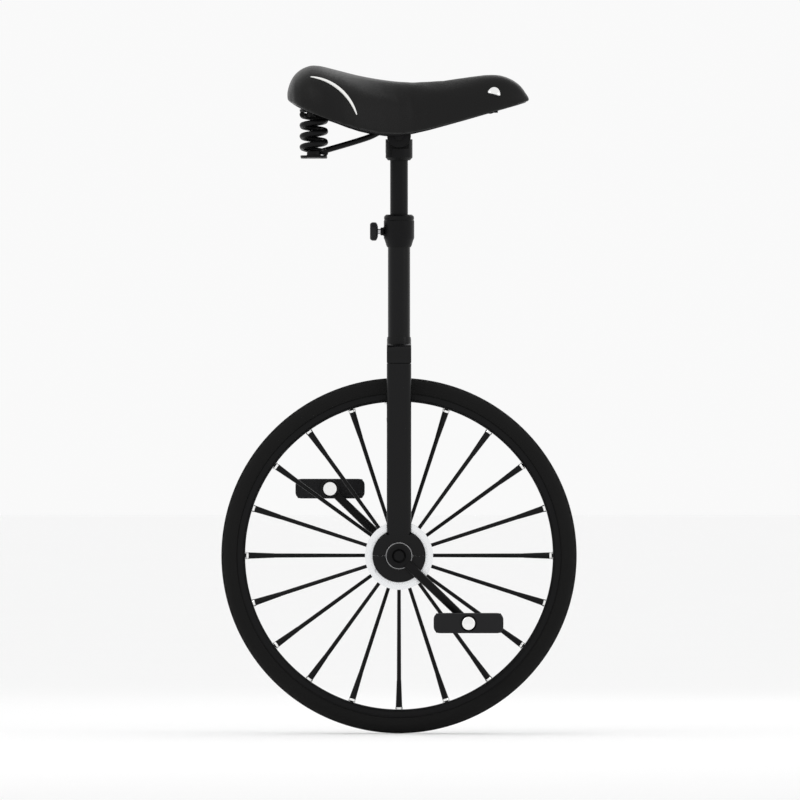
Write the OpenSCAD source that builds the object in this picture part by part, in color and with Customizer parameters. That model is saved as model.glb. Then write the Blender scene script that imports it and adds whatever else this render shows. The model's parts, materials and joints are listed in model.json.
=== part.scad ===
// Unicycle with a sprung saddle, a telescopic seat post and a radially spoked wheel.
// +X is forward, +Y is the rider's left and +Z is up. The origin is the point where
// the tyre touches the ground, straight below the axle.

/* [Wheel] */
// Outside radius of the tyre
tyre_r = 254; // [240:1:262]
// Width of the tyre
tyre_w = 32; // [30:0.5:34]
// Inside radius of the rim, where the ferrules sit
rim_in_r = 219.5; // [219:0.5:220]
// Width of the rim
rim_w = 25; // [24:0.5:26]
// Number of spokes, half of them on each flange
spoke_count = 20; // [16:4:28]
// Radius of a spoke at the hub
spoke_r = 2.6; // [2:0.1:3]

/* [Hub] */
// Radius of the polished hub flanges
flange_r = 48.5; // [44:0.5:50]
// Distance from the middle of the hub to a flange
flange_y = 30; // [28:0.5:32]
// Distance from the middle of the hub to a bearing
bearing_y = 50; // [48:0.5:52]

/* [Cranks and pedals] */
// Distance from the axle to a pedal's spindle
crank_len = 137; // [125:1:150]
// Angle of the right crank below the horizontal at rest
crank_angle = 43.9; // [0:0.1:90]
// Length of a pedal, front to back
pedal_len = 99; // [90:1:105]
// Thickness of a pedal
pedal_h = 28; // [24:1:32]

/* [Frame] */
// Depth of a fork leg, front to back
leg_w = 35; // [32:1:38]
// Thickness of a fork leg
leg_t = 16; // [14:1:16]
// Outside radius of the neck tube
neck_r = 15.9; // [15.5:0.1:16.5]
// Height of the seat collar's top edge
collar_top = 740.6; // [735:0.1:750]
// Outside radius of the seat collar
collar_r = 21.75; // [20:0.25:24]

/* [Seat post] */
// Outside radius of the seat post
post_r = 12.7; // [12.5:0.1:12.7]
// Height of the lower edge of the post head
head_z = 818; // [812:1:824]

/* [Saddle] */
// Distance from the middle of the saddle to a spring
spring_y = 52; // [50:1:56]
// Radius of the spring wire
wire_r = 4; // [3:0.25:4.25]
// Number of turns of a spring
spring_turns = 3.5; // [3.5:0.5:4]

/* [Hidden] */
$fn = 48;

black = [0.07, 0.07, 0.075];
bright = [0.82, 0.83, 0.85];
LEFT = 1;
RIGHT = -1;

axle_z = tyre_r;
fit = 0.05;

// Wheel
tread_t = 5;
tyre_mid_r = tyre_r - tyre_w / 2;
tube_r = tyre_w / 2 - tread_t - 2.4;
tube_mid_r = tyre_mid_r + 1.5;
rim_out_r = 231.5;
rim_bed_r = rim_in_r + 3;
bead_seat_r = 225.5;
hook_y = rim_w / 2 - 3;
spoke_step = 360 / spoke_count;
spoke_root_r = flange_r - 5.5;
spoke_rim_y = 3;
spoke_tilt = atan((flange_y - spoke_rim_y) / (rim_in_r - spoke_root_r));
nipple_in_r = 178;
ferrule_t = 4;
thread_r = 2;
nipple_r = 4.7;
valve_angle = 94;

// Hub
axle_r = 11;
bearing_bore_r = 10;
bearing_out_r = 21;
bearing_w = 12;
ball_r = 3;
ball_path_r = 15.5;
ball_count = 9;
housing_r = 37.8;
housing_y = [bearing_y - 8, bearing_y + 8];
square_w = 13;

// Cranks and pedals
crank_y = [63, 79];
eye_y = [66, 79];
arm_w = 12;
eye_r = 13.5;
boss_r = 18;
spindle_r = 6;
pedal_y = [88, 175];
dust_cap_r = 9.5;

// Frame
crown_z = [528, 556];
crown_end_r = 14;
neck_foot_z = 536;
collar_foot_z = 694;
post_bore_r = post_r + 0.1;
knob_z = 716.5;
knob_x = [-41.4, -30];
knob_r = 13.5;
stud_r = 4;
pad_r = 5;
pad_t = 2.5;
knob_travel = 2.5;
pad_face_x = -post_r - fit;

// Saddle
post_foot_z = 640;
post_top_z = 834;
head_top_z = 848;
head_r = 19.25;
head_cheek_y = 13;
tilt_z = 853;
jaw_r = 17;
jaw_y = [13.3, 30];
rail_y = 22;
rail_z = 864;
rail_r = 4;
spring_x = -121.5;
spring_r = 16.35;
spring_z = [828.5, 883];
nose_pivot = [130, 893];

// Stations of the saddle: [x, height of the skirt's edge, height of the top, half width]
SADDLE = [
    [-160.5, 901, 914, 44], [-151, 896, 937.5, 74], [-126, 883, 952, 94],
    [-95, 872, 946.5, 98], [-60, 860, 937.5, 86], [-20, 853, 930.5, 62],
    [20, 856, 927.5, 44], [70, 868, 931, 35], [120, 881.5, 939, 31.5],
    [148, 889.5, 938.8, 28], [170, 896, 928.5, 22], [181, 900, 916, 15], [187.5, 902, 906, 7],
];
STATION_STEPS = 2;
ARCH_STEPS = 18;
ARCH_POWER = 0.72;
SADDLE_MID_X = 13.5;
SADDLE_HALF = 174;

function knot(i) = SADDLE[max(0, min(len(SADDLE) - 1, i))];
function through(a, b, c, d, t) =
    b + 0.5 * t * (c - a + t * (2 * a - 5 * b + 4 * c - d + t * (3 * (b - c) + d - a)));
function station(u) =
    let (i = min(floor(u), len(SADDLE) - 2), t = u - i)
    through(knot(i - 1), knot(i), knot(i + 1), knot(i + 2), t);

// One cross-section of the saddle, an arch moved in from the outside by side and top
function arch(s, side, top) =
    let (x = SADDLE_MID_X + (s[0] - SADDLE_MID_X) * (1 - side / SADDLE_HALF),
         half = max(s[3] - side, 2 - side / 10),
         high = max(s[2] - top - s[1], 1 - top / 50))
    [for (j = [0 : ARCH_STEPS])
        let (a = 180 * j / ARCH_STEPS, c = cos(a), w = pow(abs(c), ARCH_POWER))
        [x, half * w * sign(c), s[1] + high * pow(max(sin(a), 0), ARCH_POWER)]];

function station_at(x, u = 0) = station(u)[0] >= x ? station(u) : station_at(x, u + 0.05);
// How far the saddle's side stands out at a place along it and a height
function side_y(x, z) =
    let (s = station_at(x), share = min(max((z - s[1]) / (s[2] - s[1]), 0), 1),
         up = pow(share, 1 / ARCH_POWER))
    s[3] * pow(sqrt(1 - up * up), ARCH_POWER);

// A rod along a list of points, with a radius at each
module swept(points, radii, sides = 10) {
    last = len(points) - 1;
    rings = [for (i = [0 : last])
        let (ahead = points[min(i + 1, last)] - points[max(i - 1, 0)],
             t = ahead / norm(ahead),
             over = cross(t, [0, 0, 1]),
             n = over / norm(over), b = cross(t, n))
        for (k = [0 : sides - 1])
            points[i] + radii[i] * (cos(360 * k / sides) * n + sin(360 * k / sides) * b)];
    walls = [for (i = [0 : last - 1], k = [0 : sides - 1])
        let (m = (k + 1) % sides, a = i * sides, b = a + sides)
        [a + k, a + m, b + m, b + k]];
    ends = [[for (k = [sides - 1 : -1 : 0]) k], [for (k = [0 : sides - 1]) last * sides + k]];
    polyhedron(rings, concat(walls, ends), convexity = 6);
}

// A saddle layer between two nested arched surfaces that share the skirt's edge
module saddle_layer(out_side, out_top, in_side, in_top) {
    count = (len(SADDLE) - 1) * STATION_STEPS;
    row = ARCH_STEPS + 1;
    outside = [for (i = [0 : count]) each arch(station(i / STATION_STEPS), out_side, out_top)];
    inside = [for (i = [0 : count]) each arch(station(i / STATION_STEPS), in_side, in_top)];
    shift = len(outside);
    skin = [for (i = [0 : count - 1], j = [0 : ARCH_STEPS - 1])
        let (a = i * row + j) [a, a + row, a + row + 1, a + 1]];
    lining = [for (f = skin) [for (k = [3 : -1 : 0]) f[k] + shift]];
    hem = [for (i = [0 : count - 1])
        let (a = i * row, b = a + ARCH_STEPS)
        each [[a, a + shift, a + row + shift, a + row],
              [b, b + row, b + row + shift, b + shift]]];
    far = count * row;
    ends = [
        [for (j = [0 : ARCH_STEPS]) j], [for (j = [ARCH_STEPS : -1 : 0]) far + j],
        [for (j = [ARCH_STEPS : -1 : 0]) shift + j], [for (j = [0 : ARCH_STEPS]) shift + far + j],
        [0, ARCH_STEPS, ARCH_STEPS + shift, shift],
        [far, far + shift, far + ARCH_STEPS + shift, far + ARCH_STEPS],
    ];
    polyhedron(concat(outside, inside), concat(skin, lining, hem, ends), convexity = 8);
}

// A cylinder along Y between two distances from the middle, on the given side
module across(r, y, side = LEFT, x = 0, z = 0) {
    translate([x, side * y[0], z])
        rotate([-90 * side, 0, 0])
            cylinder(r = r, h = y[1] - y[0]);
}

// A cylinder along X
module along(r, x, y = 0, z = 0) {
    translate([x[0], y, z]) rotate([0, 90, 0]) cylinder(r = r, h = x[1] - x[0]);
}

// Turns a shape that is round about Z so that it is round about the axle
module on_axle() { translate([0, 0, axle_z]) rotate([90, 0, 0]) children(); }

module rod(a, b, r) {
    span = b - a;
    tilt = acos(span[2] / norm(span));
    turn = atan2(span[1], span[0]);
    translate(a) rotate([0, tilt, turn]) cylinder(r = r, h = norm(span));
}

// Places a shape on spoke i, with +Z outwards and 0 at the spoke's root in the flange
module on_spoke(i) {
    side = i % 2 == 0 ? LEFT : RIGHT;
    translate([0, 0, axle_z])
        rotate([0, -spoke_step * i, 0])
            translate([spoke_root_r, side * flange_y, 0])
                rotate([0, 90, -side * spoke_tilt])
                    children();
}

// Distance along a spoke from its root to a radius of the wheel
function spoke_at(r) = (r - spoke_root_r) / cos(spoke_tilt);

module tyre() {
    color(black) on_axle() rotate_extrude($fn = 120) {
        difference() {
            translate([tyre_mid_r, 0]) circle(tyre_w / 2);
            translate([tyre_mid_r, 0]) circle(tyre_w / 2 - tread_t);
            translate([0, -tyre_w]) square([rim_out_r + 0.3, 2 * tyre_w]);
        }
        for (y = [-hook_y + 0.2, hook_y - 2.8])
            translate([bead_seat_r + 0.2, y]) square([rim_out_r - bead_seat_r + 1.8, 2.6]);
    }
}

module inner_tube() {
    color([0.15, 0.15, 0.16]) difference() {
        on_axle() rotate_extrude($fn = 120) difference() {
            translate([tube_mid_r, 0]) circle(tube_r);
            translate([tube_mid_r, 0]) circle(tube_r - 1);
        }
        on_valve() cylinder(r = thread_r, h = tyre_mid_r);
    }
}

module on_valve() { translate([0, 0, axle_z]) rotate([0, 90 - valve_angle, 0]) children(); }

module rim_tape() {
    color([0.5, 0.1, 0.1]) difference() {
        on_axle() rotate_extrude($fn = 120)
            translate([rim_bed_r + 0.05, -5]) square([0.9, 10]);
        on_valve() cylinder(r = 3.3, h = tyre_r);
    }
}

module rim() {
    half = rim_w / 2;
    color(black) difference() {
        on_axle() rotate_extrude($fn = 120) polygon([
            [rim_in_r, -half + 4], [rim_in_r + 4, -half], [rim_out_r, -half],
            [rim_out_r, -hook_y], [bead_seat_r, -hook_y], [bead_seat_r, -6],
            [rim_bed_r, -5.3], [rim_bed_r, 5.3], [bead_seat_r, 6],
            [bead_seat_r, hook_y], [rim_out_r, hook_y], [rim_out_r, half],
            [rim_in_r + 4, half], [rim_in_r, half - 4],
        ]);
        for (i = [0 : spoke_count - 1])
            on_spoke(i) translate([0, 0, spoke_at(rim_in_r - 3)]) cylinder(r = 2.7, h = 10);
        on_valve() translate([0, 0, rim_in_r - 5]) cylinder(r = 3.3, h = 14);
    }
}

module spoke() {
    neck = spoke_at(flange_r + 1);
    foot = spoke_at(nipple_in_r);
    translate([0, 0, 0.4]) cylinder(r = spoke_r, h = neck);
    translate([0, 0, neck]) cylinder(r1 = spoke_r, r2 = spoke_r + 0.5, h = foot - neck);
    translate([0, 0, foot - 1]) cylinder(r = thread_r, h = 13);
}

module spokes(side) {
    color(black) for (i = [side == LEFT ? 0 : 1 : 2 : spoke_count - 1]) on_spoke(i) spoke();
}

module nipple() {
    foot = spoke_at(nipple_in_r) + fit;
    seat = spoke_at(rim_in_r - ferrule_t);
    difference() {
        union() {
            translate([0, 0, foot]) cylinder(r1 = 3.3, r2 = nipple_r, h = seat - foot);
            translate([0, 0, seat - 1]) cylinder(r = 2.6, h = spoke_at(rim_bed_r - 0.4) - seat + 1);
        }
        translate([0, 0, foot - 1]) cylinder(r = thread_r + fit, h = 14);
    }
}

module nipples(side) {
    color(black) for (i = [side == LEFT ? 0 : 1 : 2 : spoke_count - 1]) on_spoke(i) nipple();
}

module spoke_ferrules() {
    color(bright) for (i = [0 : spoke_count - 1])
        on_spoke(i) translate([0, 0, spoke_at(rim_in_r - ferrule_t) + fit]) difference() {
            cylinder(r = 5.6, h = ferrule_t - 1);
            translate([0, 0, -1]) cylinder(r = 2.7, h = ferrule_t + 4);
        }
}

module valve_stem() {
    color(bright) on_valve() {
        translate([0, 0, 187]) cylinder(r = 3.1, h = tube_mid_r - tube_r - 187.2);
        translate([0, 0, rim_in_r - 3.2]) cylinder(r = 5.5, h = 3, $fn = 6);
    }
}

module valve_cap() {
    color(black) on_valve() difference() {
        translate([0, 0, 183]) cylinder(r = 4.2, h = 14);
        translate([0, 0, 186.9]) cylinder(r = 3.15, h = 14);
    }
}

module hub_shell() {
    color(bright) difference() {
        on_axle() rotate_extrude() {
            translate([axle_r + fit, -flange_y - 4]) square([6, 2 * flange_y + 8]);
            for (y = [-flange_y, flange_y]) {
                translate([axle_r + 1, y - 1.5]) square([flange_r - axle_r - 3, 3]);
                translate([flange_r - 7.5, y - 4]) square([7.5, 8]);
            }
        }
        for (i = [0 : spoke_count - 1]) on_spoke(i) cylinder(r = spoke_r + fit, h = 9);
    }
}

module axle() {
    color([0.55, 0.56, 0.58]) {
        across(axle_r, [-bearing_y + bearing_w / 2, bearing_y - bearing_w / 2], z = axle_z);
        across(bearing_bore_r, [-housing_y[1], housing_y[1]], z = axle_z);
        translate([0, 0, axle_z]) rotate([0, crank_angle, 0])
            cube([square_w, 2 * (crank_y[1] - 3), square_w], center = true);
    }
}

module bearing_ring(inner, outer, y) {
    on_axle() translate([0, 0, y]) rotate_extrude() difference() {
        translate([inner, -bearing_w / 2]) square([outer - inner, bearing_w]);
        translate([ball_path_r, 0]) circle(ball_r + 0.06);
    }
}

module bearing_inner_rings() {
    color(bright) for (y = [-bearing_y, bearing_y]) bearing_ring(bearing_bore_r + 0.02, 13.8, y);
}

module bearing_outer_rings() {
    color(bright) for (y = [-bearing_y, bearing_y]) bearing_ring(17.2, bearing_out_r, y);
}

module bearing_balls() {
    color(bright) for (y = [-bearing_y, bearing_y], i = [0 : ball_count - 1])
        translate([0, y, axle_z]) rotate([0, 360 / ball_count * i, 0])
            translate([ball_path_r, 0, 0]) sphere(ball_r);
}

module bearing_shields() {
    color([0.3, 0.3, 0.32]) for (side = [LEFT, RIGHT], y = [bearing_y - 5.6, bearing_y + 4.8])
        difference() {
            across(17.15, [y, y + 0.8], side, z = axle_z);
            across(13.9, [y - 1, y + 2], side, z = axle_z);
        }
}

// The bearing's round house, before it is split into a housing and a cap
module house(side) {
    difference() {
        union() {
            across(housing_r - 2, housing_y, side, z = axle_z);
            across(housing_r, [housing_y[0] + 2, housing_y[1] - 2], side, z = axle_z);
        }
        across(bearing_out_r + fit, [bearing_y - bearing_w / 2, bearing_y + bearing_w / 2],
               side, z = axle_z);
        across(bearing_out_r - 2, [housing_y[0] - 1, housing_y[1] + 1], side, z = axle_z);
        for (x = [-29, 29]) translate([x, side * bearing_y, axle_z - 30]) {
            cylinder(r = 3.1, h = 54);
            translate([0, 0, -15]) cylinder(r = 6, h = 27);
        }
    }
}

module above_split(z) { translate([-50, -100, z]) cube([100, 200, 100]); }

module bearing_housing(side) {
    color(black) difference() {
        intersection() {
            house(side);
            above_split(axle_z + 0.2);
        }
        translate([-leg_w / 2 - fit, -100, axle_z + 30]) cube([leg_w + 2 * fit, 200, 20]);
    }
}

module bearing_cap(side) {
    color(black) intersection() {
        house(side);
        translate([0, 0, -100.2]) above_split(axle_z);
    }
}

module bearing_cap_bolts() {
    color(bright) for (side = [LEFT, RIGHT], x = [-29, 29])
        translate([x, side * bearing_y, axle_z]) {
            translate([0, 0, -20]) cylinder(r = 3, h = 42);
            translate([0, 0, -23.5]) cylinder(r = 5, h = 5.4);
        }
}

module stadium(l, w) {
    square([l - w, w], center = true);
    for (x = [-1, 1]) translate([x * (l - w) / 2, 0]) circle(w / 2);
}

module fork_leg(side) {
    foot = axle_z + 30 + fit;
    color(black) translate([0, side * bearing_y, foot])
        linear_extrude(crown_z[0] - fit - foot) difference() {
            stadium(leg_w, leg_t);
            stadium(leg_w - 5, leg_t - 5);
        }
}

module fork_crown() {
    out_y = bearing_y + leg_t / 2;
    color(black) difference() {
        union() {
            translate([-leg_w / 2, -out_y + crown_end_r, crown_z[0]])
                cube([leg_w, 2 * (out_y - crown_end_r), crown_z[1] - crown_z[0]]);
            for (side = [LEFT, RIGHT]) {
                along(crown_end_r, [-leg_w / 2, leg_w / 2], side * (out_y - crown_end_r),
                      crown_z[1] - crown_end_r);
                translate([-leg_w / 2, side * (out_y - 8) - 8, crown_z[0]])
                    cube([leg_w, 16, crown_z[1] - crown_z[0] - crown_end_r]);
            }
            translate([0, 0, crown_z[1] - 1]) cylinder(r1 = leg_w / 2, r2 = neck_r + 0.8, h = 11);
        }
        translate([0, 0, neck_foot_z]) cylinder(r = neck_r + fit, h = 60);
    }
}

module neck_tube() {
    color(black) difference() {
        translate([0, 0, neck_foot_z + fit]) cylinder(r = neck_r, h = 728 - neck_foot_z);
        translate([0, 0, neck_foot_z - 1]) cylinder(r = post_bore_r, h = 300);
        along(pad_r + 0.1, [-30, 0], z = knob_z);
    }
}

module seat_collar() {
    bore = neck_r + fit;
    color(black) difference() {
        union() {
            rotate_extrude() polygon([
                [bore, collar_foot_z], [neck_r + 0.8, collar_foot_z], [collar_r, 707],
                [collar_r, collar_top - 4], [collar_r - 3.5, collar_top],
                [post_bore_r, collar_top], [post_bore_r, 728.2], [bore, 728.2],
            ]);
            difference() {
                along(5.7, [-26.5, 0], z = knob_z);
                translate([0, 0, 700]) cylinder(r = neck_r + 1, h = 30);
            }
        }
        along(pad_r + 0.1, [pad_face_x - pad_t - knob_travel - 0.2, 0], z = knob_z);
        along(stud_r + fit, [-30, 0], z = knob_z);
    }
}

module clamp_pad() {
    color([0.75, 0.6, 0.25]) along(pad_r, [pad_face_x - pad_t, pad_face_x], z = knob_z);
}

module clamp_stud() {
    color(bright) along(stud_r, [knob_x[0] + 4, pad_face_x - pad_t - fit], z = knob_z);
}

module clamp_knob() {
    color(black) difference() {
        union() {
            along(knob_r, [knob_x[0] + 2, knob_x[1] - 1.5], z = knob_z);
            along(knob_r - 2, knob_x, z = knob_z);
        }
        along(stud_r + fit, [knob_x[0] + 3.9, 0], z = knob_z);
        for (a = [0 : 45 : 315]) translate([0, 0, knob_z]) rotate([a, 0, 0])
            along(2.2, [knob_x[0] - 1, knob_x[1] + 1], 0, knob_r + 1);
    }
}

module seat_post() {
    color(black) difference() {
        translate([0, 0, post_foot_z]) cylinder(r = post_r, h = post_top_z - post_foot_z);
        translate([0, 0, post_foot_z - 1]) cylinder(r = post_r - 2.6, h = 300);
    }
}

module post_head() {
    color(black) difference() {
        union() {
            translate([0, 0, head_z + 4]) cylinder(r = head_r, h = head_top_z - head_z - 4);
            translate([0, 0, head_z]) cylinder(r1 = head_r - 3.5, r2 = head_r, h = 4);
            across(head_cheek_y - 1.5, [-head_cheek_y, head_cheek_y], z = tilt_z);
        }
        translate([0, 0, head_z - 1]) cylinder(r = post_r + fit, h = post_top_z - head_z + 1.1);
        for (side = [LEFT, RIGHT])
            translate([-30, side * (head_cheek_y + 20) - 20, tilt_z - jaw_r - 1.5])
                cube([60, 40, 60]);
        across(stud_r + fit, [-30, 30], z = tilt_z);
        along(3.05, [-30, -post_r + 1], z = 826);
    }
}

module head_grub_screw() {
    color(bright) difference() {
        along(3, [-head_r + 1, -post_r - fit - 0.1], z = 826);
        translate([-head_r, 0, 826]) rotate([0, 90, 0]) cylinder(r = 1.6, h = 3.5, $fn = 6);
    }
}

module rail_jaws() {
    color(black) for (side = [LEFT, RIGHT]) difference() {
        across(jaw_r, jaw_y, side, z = tilt_z);
        across(stud_r + fit, [0, 40], side, z = tilt_z);
        rod([-20, side * rail_y, rail_z], [20, side * rail_y, rail_z], rail_r + fit);
    }
}

module rail_clamp_bolt() {
    color(bright) {
        across(stud_r, [-37, 37], z = tilt_z);
        for (side = [LEFT, RIGHT])
            translate([0, side * (jaw_y[1] + 3.4), tilt_z]) rotate([90, 0, 0])
                cylinder(r = 7.5, h = 6.5, center = true, $fn = 6);
    }
}

// The points of one rail, from the spring strap past the clamp to the nose barrel
function rail_points(side) = [
    [-126, side * 25, 826], [-40, side * 23, 851], [-19, side * rail_y, rail_z],
    [19, side * rail_y, rail_z], [70, side * 17, 880], [112, side * 6, 891], [121.4, side * 6, 893],
];

module saddle_rails() {
    strap_z = spring_z[0] - wire_r - 0.2;
    color(black) {
        for (side = [LEFT, RIGHT]) {
            points = rail_points(side);
            for (i = [0 : len(points) - 2]) rod(points[i], points[i + 1], rail_r);
            for (i = [0 : len(points) - 2]) translate(points[i]) sphere(rail_r + 0.3);
            translate([spring_x, side * spring_y, strap_z - 3.5]) cylinder(r = 19, h = 3.5);
            translate([spring_x, side * spring_y, strap_z - 1]) cylinder(r = 10, h = 8);
        }
        translate([spring_x - 10, -spring_y, strap_z - 3.5]) cube([20, 2 * spring_y, 3.5]);
    }
}

// The cross tube welded to the rails' front ends, which turns on the nose bolt
module nose_barrel() {
    color(black) difference() {
        across(8, [-11, 11], x = nose_pivot[0], z = nose_pivot[1]);
        across(stud_r + fit, [-12, 12], x = nose_pivot[0], z = nose_pivot[1]);
    }
}

module spring(side) {
    rings = spring_turns * 18;
    color(black) translate([spring_x, side * spring_y, 0]) swept(
        [for (i = [0 : rings])
            let (a = -side * 360 * spring_turns * i / rings)
            [spring_r * cos(a), spring_r * sin(a),
             spring_z[0] + (spring_z[1] - spring_z[0]) * i / rings]],
        [for (i = [0 : rings]) wire_r]);
}

module spring_cups() {
    top = spring_z[1] + wire_r + 0.2;
    color(black) for (side = [LEFT, RIGHT]) translate([spring_x, side * spring_y, 0]) {
        translate([0, 0, top]) cylinder(r = 20, h = 3);
        translate([0, 0, top + 2]) cylinder(r = 9, h = 20);
        translate([0, 0, top - 7]) cylinder(r = 10, h = 8);
    }
}

module nose_bracket() {
    color(black) difference() {
        union() {
            for (y = [-14.3, 11.3]) translate([nose_pivot[0] - 11, y, nose_pivot[1] - 7])
                cube([22, 3, 18]);
            for (side = [LEFT, RIGHT])
                across(8.5, [11.3, 14.3], side, nose_pivot[0], nose_pivot[1]);
            translate([nose_pivot[0] - 11, -14.3, nose_pivot[1] + 10]) cube([22, 28.6, 3]);
        }
        across(stud_r + fit, [-20, 20], x = nose_pivot[0], z = nose_pivot[1]);
    }
}

module nose_bolt() {
    color(bright) {
        across(stud_r, [-17, 17], x = nose_pivot[0], z = nose_pivot[1]);
        for (side = [LEFT, RIGHT]) across(6.5, [14.4, 18], side, nose_pivot[0], nose_pivot[1]);
    }
}

module saddle_cover() { color(black) saddle_layer(0, 0, 3, 3); }
module saddle_padding() { color([0.75, 0.7, 0.5]) saddle_layer(3.3, 3.3, 6.4, 24); }
module saddle_base() { color([0.2, 0.2, 0.22]) saddle_layer(6.8, 24.4, 9.5, 28); }

// A bright bead that curls round the rear flank of the saddle
module saddle_piping() {
    count = 20;
    middle = [-135, 858];
    color(bright) for (side = [LEFT, RIGHT]) swept(
        [for (i = [0 : count])
            let (a = 83 - 65 * i / count,
                 x = middle[0] + 78 * cos(a), z = middle[1] + 78 * sin(a))
            [x, side * (side_y(x, z) + 0.6), z]],
        [for (i = [0 : count]) 0.5 + 2.1 * pow(sin(180 * i / count), 0.6)], 8);
}

module nose_studs() {
    stud = [135, 911];
    color(bright) for (side = [LEFT, RIGHT]) difference() {
        translate([stud[0], side * (side_y(stud[0], stud[1] + 4) - 8.5), stud[1]]) sphere(12);
        translate([stud[0] - 20, side * 20 - 20, stud[1] - 20]) cube([40, 40, 20]);
        translate([stud[0], 0, stud[1]])
            cube([60, 2 * side_y(stud[0], stud[1] + 4) - 3, 60], center = true);
    }
}

// Turns a shape drawn for a forward crank to the crank's angle at rest
module on_crank(side) {
    translate([0, 0, axle_z]) rotate([0, crank_angle + (side == LEFT ? 180 : 0), 0]) children();
}

function pedal_x(side) = -side * crank_len * cos(crank_angle);
function pedal_z(side) = axle_z + side * crank_len * sin(crank_angle);

module crank(side) {
    color(black) on_crank(side) difference() {
        union() {
            across(boss_r, crank_y, side);
            across(eye_r, eye_y, side, crank_len);
            translate([0, side * 73 - 5.5, -arm_w / 2]) cube([crank_len, 11, arm_w]);
        }
        translate([0, side * 60, 0])
            cube([square_w + 2 * fit, 2 * (crank_y[1] - 2.9 - 60), square_w + 2 * fit], center = true);
        across(4.1, [60, 90], side);
        across(7.15 + fit, [60, 90], side, crank_len);
    }
}

module crank_bolts() {
    color(bright) for (side = [LEFT, RIGHT]) {
        across(4, [crank_y[1] - 2.8, crank_y[1]], side, z = axle_z);
        across(7, [crank_y[1] + fit, crank_y[1] + 5], side, z = axle_z);
    }
}

module spindle_nuts() {
    color(bright) for (side = [LEFT, RIGHT])
        across(dust_cap_r, [eye_y[0] - 4, eye_y[0] - fit], side, pedal_x(side), pedal_z(side));
}

module pedal_spindle(side) {
    x = pedal_x(side);
    z = pedal_z(side);
    color(bright) {
        across(7.15, [eye_y[0], eye_y[1] + 1], side, x, z);
        across(9, [eye_y[1] + fit, eye_y[1] + 5], side, x, z);
        across(spindle_r, [eye_y[1], pedal_y[1] - 4], side, x, z);
    }
}

// The side view of a pedal's end plate, a bar with cut corners
module pedal_outline() {
    half = pedal_len / 2;
    high = pedal_h / 2;
    polygon([[-half + 7, -high], [half - 7, -high], [half, -high + 9], [half, high - 9],
             [half - 7, high], [-half + 7, high], [-half, high - 9], [-half, -high + 9]]);
}

module pedal_frame(side) {
    color(black) translate([pedal_x(side), 0, pedal_z(side)]) difference() {
        union() {
            across(11.5, pedal_y, side);
            for (y = [pedal_y[0], pedal_y[1] - 4])
                translate([0, side * (y + 2), 0]) rotate([90, 0, 0])
                    linear_extrude(4, center = true) pedal_outline();
            for (x = [-32, 32])
                translate([x, side * (pedal_y[0] + pedal_y[1]) / 2, 0])
                    cube([8, pedal_y[1] - pedal_y[0] - 2, 7], center = true);
        }
        across(spindle_r + fit, [pedal_y[0] - 2, pedal_y[1] - 3.8], side);
    }
}

module pedal_treads(side) {
    inner = pedal_y[0] + 4.2;
    length = pedal_y[1] - pedal_y[0] - 8.4;
    color([0.1, 0.1, 0.1]) translate([pedal_x(side), side * (inner + length / 2), pedal_z(side)])
        for (x = [-32, 32]) difference() {
            translate([x, 0, 0]) cube([30, length, pedal_h], center = true);
            translate([x, 0, 0]) cube([8.2, length + 2, 7.2], center = true);
            for (i = [-3 : 3], high = [-1, 1])
                translate([x, i * 10, high * pedal_h / 2])
                    cube([32, 3, 4], center = true);
        }
}

module pedal_cap(side) {
    color(bright) across(dust_cap_r, [pedal_y[1] + fit, pedal_y[1] + 3], side,
                         pedal_x(side), pedal_z(side));
}

tyre();
inner_tube();
rim_tape();
rim();
spokes(LEFT);  // spokes_left
spokes(RIGHT);  // spokes_right
nipples(LEFT);  // nipples_left
nipples(RIGHT);  // nipples_right
spoke_ferrules();
valve_stem();
valve_cap();
hub_shell();
axle();
bearing_inner_rings();
bearing_balls();
bearing_outer_rings();
bearing_shields();
bearing_housing(LEFT);  // bearing_housing_left
bearing_housing(RIGHT);  // bearing_housing_right
bearing_cap(LEFT);  // bearing_cap_left
bearing_cap(RIGHT);  // bearing_cap_right
bearing_cap_bolts();
fork_leg(LEFT);  // fork_leg_left
fork_leg(RIGHT);  // fork_leg_right
fork_crown();
neck_tube();
seat_collar();
clamp_pad();
clamp_knob();
clamp_stud();
seat_post();
post_head();
head_grub_screw();
rail_jaws();
rail_clamp_bolt();
saddle_rails();
nose_barrel();
spring(LEFT);  // spring_left
spring(RIGHT);  // spring_right
spring_cups();
nose_bracket();
nose_bolt();
saddle_base();
saddle_padding();
saddle_cover();
saddle_piping();
nose_studs();
crank(LEFT);  // crank_left
crank(RIGHT);  // crank_right
crank_bolts();
spindle_nuts();
pedal_spindle(LEFT);  // pedal_spindle_left
pedal_spindle(RIGHT);  // pedal_spindle_right
pedal_frame(LEFT);  // pedal_frame_left
pedal_frame(RIGHT);  // pedal_frame_right
pedal_treads(LEFT);  // pedal_treads_left
pedal_treads(RIGHT);  // pedal_treads_right
pedal_cap(LEFT);  // pedal_cap_left
pedal_cap(RIGHT);  // pedal_cap_right
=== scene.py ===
"""Looks of the unicycle: every visible surface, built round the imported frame."""
import json
import logging
import math
from dataclasses import dataclass, field
from enum import Enum
from typing import Optional, Sequence, Union

import bmesh
import bpy
from bmesh.types import BMEdge, BMesh, BMFace
from bpy.types import Material, Object
from mathutils import Matrix, Vector
from mathutils.bvhtree import BVHTree


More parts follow.
